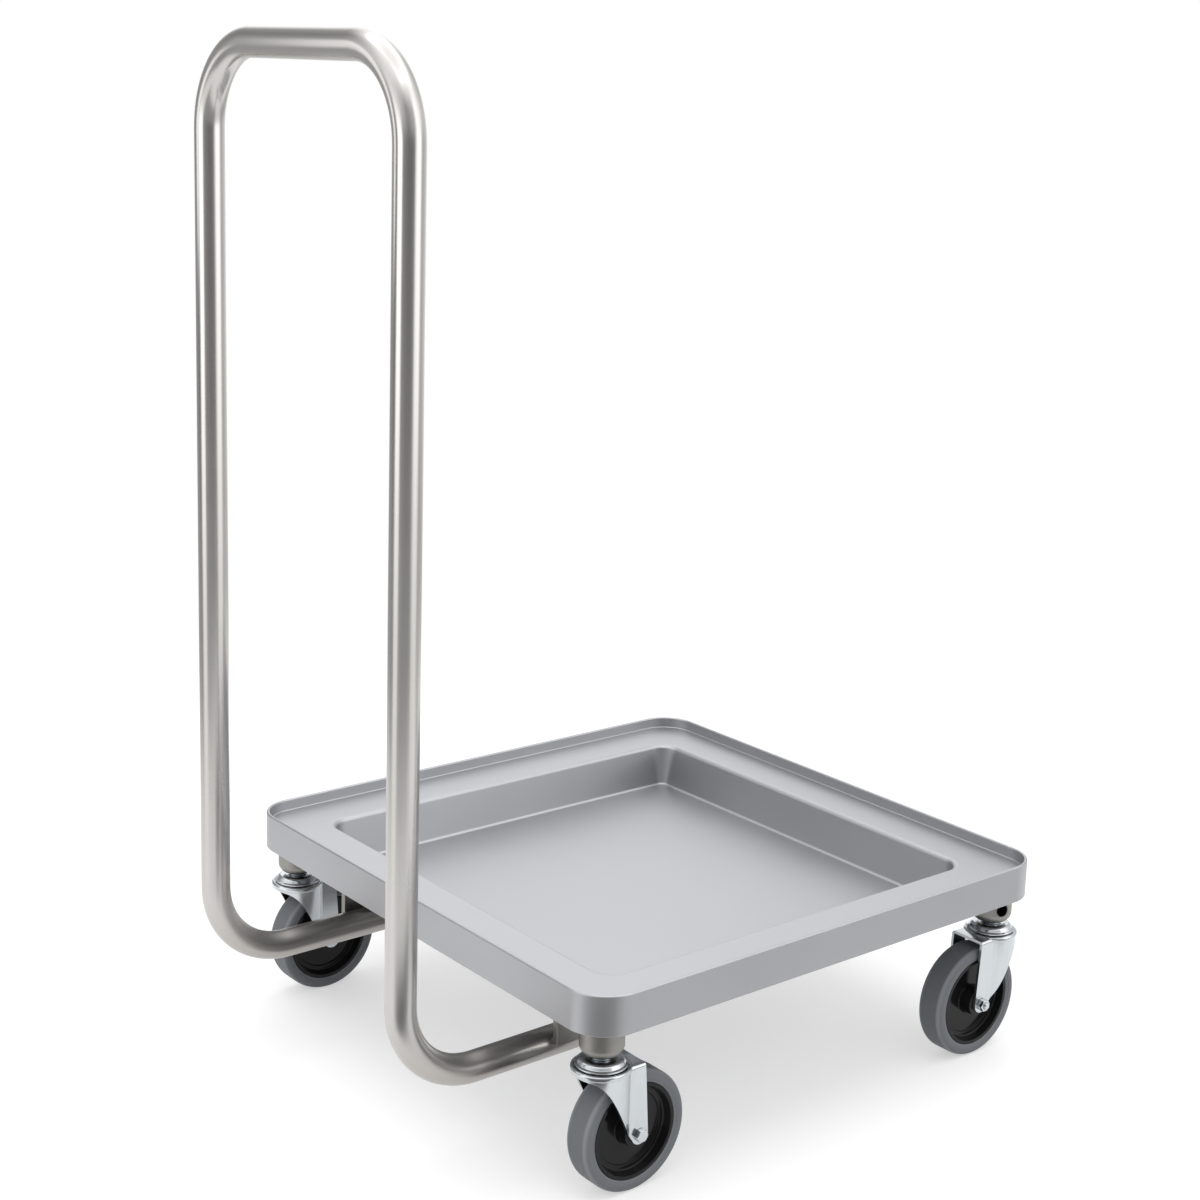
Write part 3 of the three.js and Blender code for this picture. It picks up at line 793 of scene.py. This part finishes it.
head_foot = leg_half + 0.3 * mm
flats = 10 * mm
chamfer = 0.7 * mm
shank_radius = 3 * mm
shank_tip = -head_foot - 7.4 * mm
shank_root = head_foot + 2 * mm
head = hexagon("head", flats, head_foot, head_foot + 4 * mm, chamfer)
shank_profile = soft_line(
    [
        (0, shank_tip, 0),
        (2.2 * mm, shank_tip, 0.2 * mm),
        (shank_radius, -head_foot - 6.6 * mm, 0.2 * mm),
        (shank_radius, shank_root, 0),
        (0, shank_root, 0),
    ],
    3,
)
shank = spun("shank", shank_profile, 40)
shank.transform(Matrix.Rotation(math.pi / 2, 4, "Y"))
bolt_mesh = carved(head, ("UNION", shank))
nut_mesh = hexagon("nut", flats, head_foot, head_foot + 5.4 * mm, chamfer, bore=3.2 * mm)
nut_mesh.transform(Matrix.Rotation(math.pi, 4, "Z"))
for corner, turned in castors.items():
    axle = turned @ Matrix.Translation((0, trail, axle_level))
    body = "castor_" + corner
    for name, part_mesh in (("bolt_", bolt_mesh), ("nut_", nut_mesh)):
        node = ["axle_" + name + corner]
        fit(name + corner, part_mesh, zinc, body, node, axle, edge=0.25 * mm)
    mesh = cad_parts["axle_sleeve_" + corner].data
    mesh.materials.clear()
    mesh.materials.append(bearing)


# Wheels: a black moulded hub with a deep face on either side, and a grey rubber tyre moulded on
# to it. The tread is painted a little darker than the sides, partly as painted shade, and a lighter
# band round the shoulders is a painted highlight.
rubber, shader, place = finish_of("grey_rubber")
speckle = place.grain(1200, 2.0)
dusty = place.grain(45, 4.0, 0.6)
across = place.axes()[0].maths("ABSOLUTE")
on_side = across.ease(9.5 * mm, 13 * mm)
# A lighter band round the tyre's shoulders: a painted highlight.
shoulder_highlight = across.ease(8 * mm, 10 * mm) * (1 - across.ease(11 * mm, 13 * mm))
shade = speckle * 0.3 + dusty * 0.7
# The tread is a little darker than the flank, partly painted shade for a tread turned from the
# light.
tread = shade.tint((0.122, 0.130, 0.141), (0.165, 0.175, 0.188))
flank = shade.tint((0.130, 0.136, 0.148), (0.170, 0.177, 0.191))
drive(
    shader,
    place,
    relief=speckle,
    depth=0.00003,
    Base_Color=(shoulder_highlight * 0.3).veil(on_side.veil(tread, flank), (0.42, 0.435, 0.455, 1)),
    Roughness=0.5 + dusty * 0.2,
)
hub_half = soft_line(
    [
        (40.5 * mm, 0, 0),
        (40.5 * mm, 12 * mm, 0.6 * mm),
        (37.5 * mm, 12 * mm, 0.6 * mm),
        (35.6 * mm, 4.6 * mm, 1.6 * mm),
        (31.5 * mm, 4.6 * mm, 0.7 * mm),
        (31 * mm, 3 * mm, 0.7 * mm),
        (13.3 * mm, 3 * mm, 1.2 * mm),
        (12 * mm, 14.8 * mm, 0.8 * mm),
        (6.4 * mm, 14.8 * mm, 0.3 * mm),
        (6.4 * mm, 0, 0),
    ],
    5,
)
tyre_half = soft_line(
    [
        (51 * mm, 0, 0),
        (51 * mm, 13.5 * mm, 5 * mm),
        (44 * mm, 13.4 * mm, 1.5 * mm),
        (40.8 * mm, 12 * mm, 0.5 * mm),
        (40.8 * mm, 0, 0),
    ],
    8,
)


def wheel_part(name, half):
    """A turned mesh about X from one half of its profile, the other half mirrored."""
    back = [Vector((radius, -height)) for radius, height in half[-2:0:-1]]
    mesh = spun(name, list(half) + back, 96)
    mesh.transform(Matrix.Rotation(math.pi / 2, 4, "Y"))
    return mesh


hub_mesh = wheel_part("hub", hub_half)
tyre_mesh = wheel_part("tyre", tyre_half)
for corner, turned in castors.items():
    axle = turned @ Matrix.Translation((0, trail, axle_level))
    body = "wheel_" + corner
    fit("centre_" + corner, hub_mesh, black, body, ["hub_" + corner], axle)
    fit("rubber_" + corner, tyre_mesh, rubber, body, ["tyre_" + corner], axle)


# Studio: a pale floor that fades out into white paper, a soft lamp overhead and even light all
# round. Four soft cards and the world's light and dark bands only show as reflections in metal.
def which_rays(wire):
    """1 or 0 for camera, mirrored and transmitted rays, so that all three see one background."""
    kinds = ("Camera", "Glossy", "Transmission")
    return [wire.node("LightPath", output=f"Is {kind} Ray") for kind in kinds]


floor_half = 3
floor_grey = (0.6, 0.6, 0.6, 1)
paper_glow = 0.48  # makes the grey floor white to the eye, but not to the light
fade_from = 0.85
fade_to = 1.55
edges = (-floor_half, floor_half)
floor_mesh = skin("floor", [[(x, y, 0) for x in edges] for y in edges], closed_rows=False)
matt = {"Base Color": floor_grey, "Roughness": 1.0, "Specular IOR Level": 0.0}
pale, shader, place = finish_of("pale_floor", matt)
x, y = place.axes()[:2]
distance = (x * x + y * y).maths("SQRT")
lit = Wire(place.tree, shader.outputs[0])
seen, mirrored, through = which_rays(place)
paper = place.node("Emission", inputs={"Strength": (seen + mirrored + through) * paper_glow})
sweep = place.node("AddShader", inputs={0: lit, 1: paper})
clear = place.node("BsdfTransparent")
blend = place.node("MixShader", inputs={0: distance.ease(fade_from, fade_to), 1: sweep, 2: clear})
place.tree.links.new(blend.socket, place.tree.nodes["Material Output"].inputs["Surface"])
floor = bpy.data.objects.new("floor", floor_mesh)
floor_mesh.materials.append(pale)
bpy.context.scene.collection.objects.link(floor)


def card(name, middle, across, tall, brightness):
    """An upright card beside the dolly with soft ends, which only shows as a reflection."""
    up = Vector((0, 0, tall / 2))
    rows = [[middle - across / 2 + step, middle + across / 2 + step] for step in (-up, up)]
    card_mesh = skin(name, rows, closed_rows=False)
    soft_paper, _, place = finish_of(name)
    x, y, z = place.axes()
    aside = x - middle.x
    ahead = y - middle.y
    reach = (aside * aside + ahead * ahead).maths("SQRT")
    rise = (z - middle.z).maths("ABSOLUTE")
    inside = 1 - reach.ease(across.length / 4, across.length / 2)
    inside = inside * (1 - rise.ease(tall / 4, tall / 2))
    glow = place.node("Emission", inputs={"Strength": brightness})
    clear = place.node("BsdfTransparent")
    blend = place.node("MixShader", inputs={0: inside, 1: clear, 2: glow})
    place.tree.links.new(blend.socket, place.tree.nodes["Material Output"].inputs["Surface"])
    card_mesh.materials.append(soft_paper)
    held = bpy.data.objects.new(name, card_mesh)
    held.visible_camera = False
    held.visible_diffuse = False
    held.visible_shadow = False
    held.visible_transmission = False
    bpy.context.scene.collection.objects.link(held)


# Each card's name, middle, run from end to end, height and brightness.
card("white_card", Vector((-0.62, -0.87, 0.88)), Vector((-0.25, 0.31, 0)), 0.6, 1.7)
card("grey_card", Vector((0.5, 0.3, 0.06)), Vector((0, 1.2, 0)), 0.14, 0.4)
card("black_card", Vector((0.37, -0.315, 0.045)), Vector((0.43, 0.41, 0)), 0.22, 0.18)
# The card under the deck is painted shade: in the metal's reflections it stands for the shade
# there.
card("under_deck_shade_card", Vector((-0.05, -0.05, 0.05)), Vector((0, 0.5, 0)), 0.12, 0.2)

world = bpy.data.worlds.new("studio")
bpy.context.scene.world = world
world.use_nodes = True
tree = world.node_tree
tree.nodes.clear()
sky = Wire(tree).node("TexCoord", output="Generated")
forward = Vector((-backwards.x, -backwards.y, 0)).normalized()
sideways = Vector((forward.y, -forward.x, 0))


def towards(vector):
    """How far the direction leans to this vector, from -1 to 1."""
    return sky.node("VectorMath", {"operation": "DOT_PRODUCT"}, {0: sky, 1: vector}, output="Value")


height = sky.axes()[2]
heading = towards(sideways).maths("ARCTAN2", towards(-forward)) * (0.5 / math.pi) + 0.5
brightest = 3  # a ramp holds levels from 0 to 1, so a band is scaled by this


def band(stops):
    """Brightness all round. A stop is (degrees right of the camera's side, brightness)."""
    greys = [((angle + 180) / 360, (level / brightest,) * 3) for angle, level in stops]
    return sky.node("ValToRGB", {"stops": greys}, {0: heading}) * brightest


beside = band(
    [
        (-180, 1.4),
        (-165, 1.1),
        (-145, 0.5),
        (-104, 0.35),
        (-97, 0.15),
        (-80, 0.35),
        (-74, 2.3),
        (-46, 2.4),
        (-39, 0.4),
        (0, 0.22),
        (28, 0.22),
        (41, 0.4),
        (51, 1.6),
        (60, 2.1),
        (84, 2.1),
        (94, 0.8),
        (108, 0.7),
        (145, 1.1),
        (180, 1.4),
    ]
)
above = band(
    [
        (-180, 1.6),
        (-162, 1.4),
        (-146, 0.4),
        (-120, 0.3),
        (-97, 0.9),
        (-75, 1.3),
        (-53, 1.2),
        (0, 0.4),
        (50, 0.8),
        (59, 2.1),
        (70, 2.0),
        (86, 1.8),
        (110, 1.1),
        (150, 0.7),
        (180, 1.6),
    ]
)
ceiling = 1.6
below = 0.55
even_light = 1.0
studio = beside + (above - beside) * height.ease(0.0, 0.35)
studio = studio + (ceiling - studio) * height.ease(0.5, 0.9)
studio = studio + (below - studio) * (-1 * height).ease(0.12, 0.26) * 0.65
studio = studio * (1 - height.ease(0.88, 0.95))  # dark behind the lamp, which is bright enough
seen, mirrored, through = which_rays(sky)
strength = even_light + (studio - even_light) * mirrored
strength = strength + (1 - strength) * (seen + through)
air = sky.node("Background", inputs={"Color": (1, 1, 1, 1), "Strength": strength})
outlet = tree.nodes.new("ShaderNodeOutputWorld")
tree.links.new(air.socket, outlet.inputs["Surface"])

softbox = bpy.data.lights.new("overhead", "AREA")
softbox.shape = "SQUARE"
softbox.size = 2.4
softbox.energy = 30
lamp = bpy.data.objects.new("overhead", softbox)
lamp.location = (0, 0, 2.8)
bpy.context.scene.collection.objects.link(lamp)

bpy.context.scene.view_settings.view_transform = "Standard"
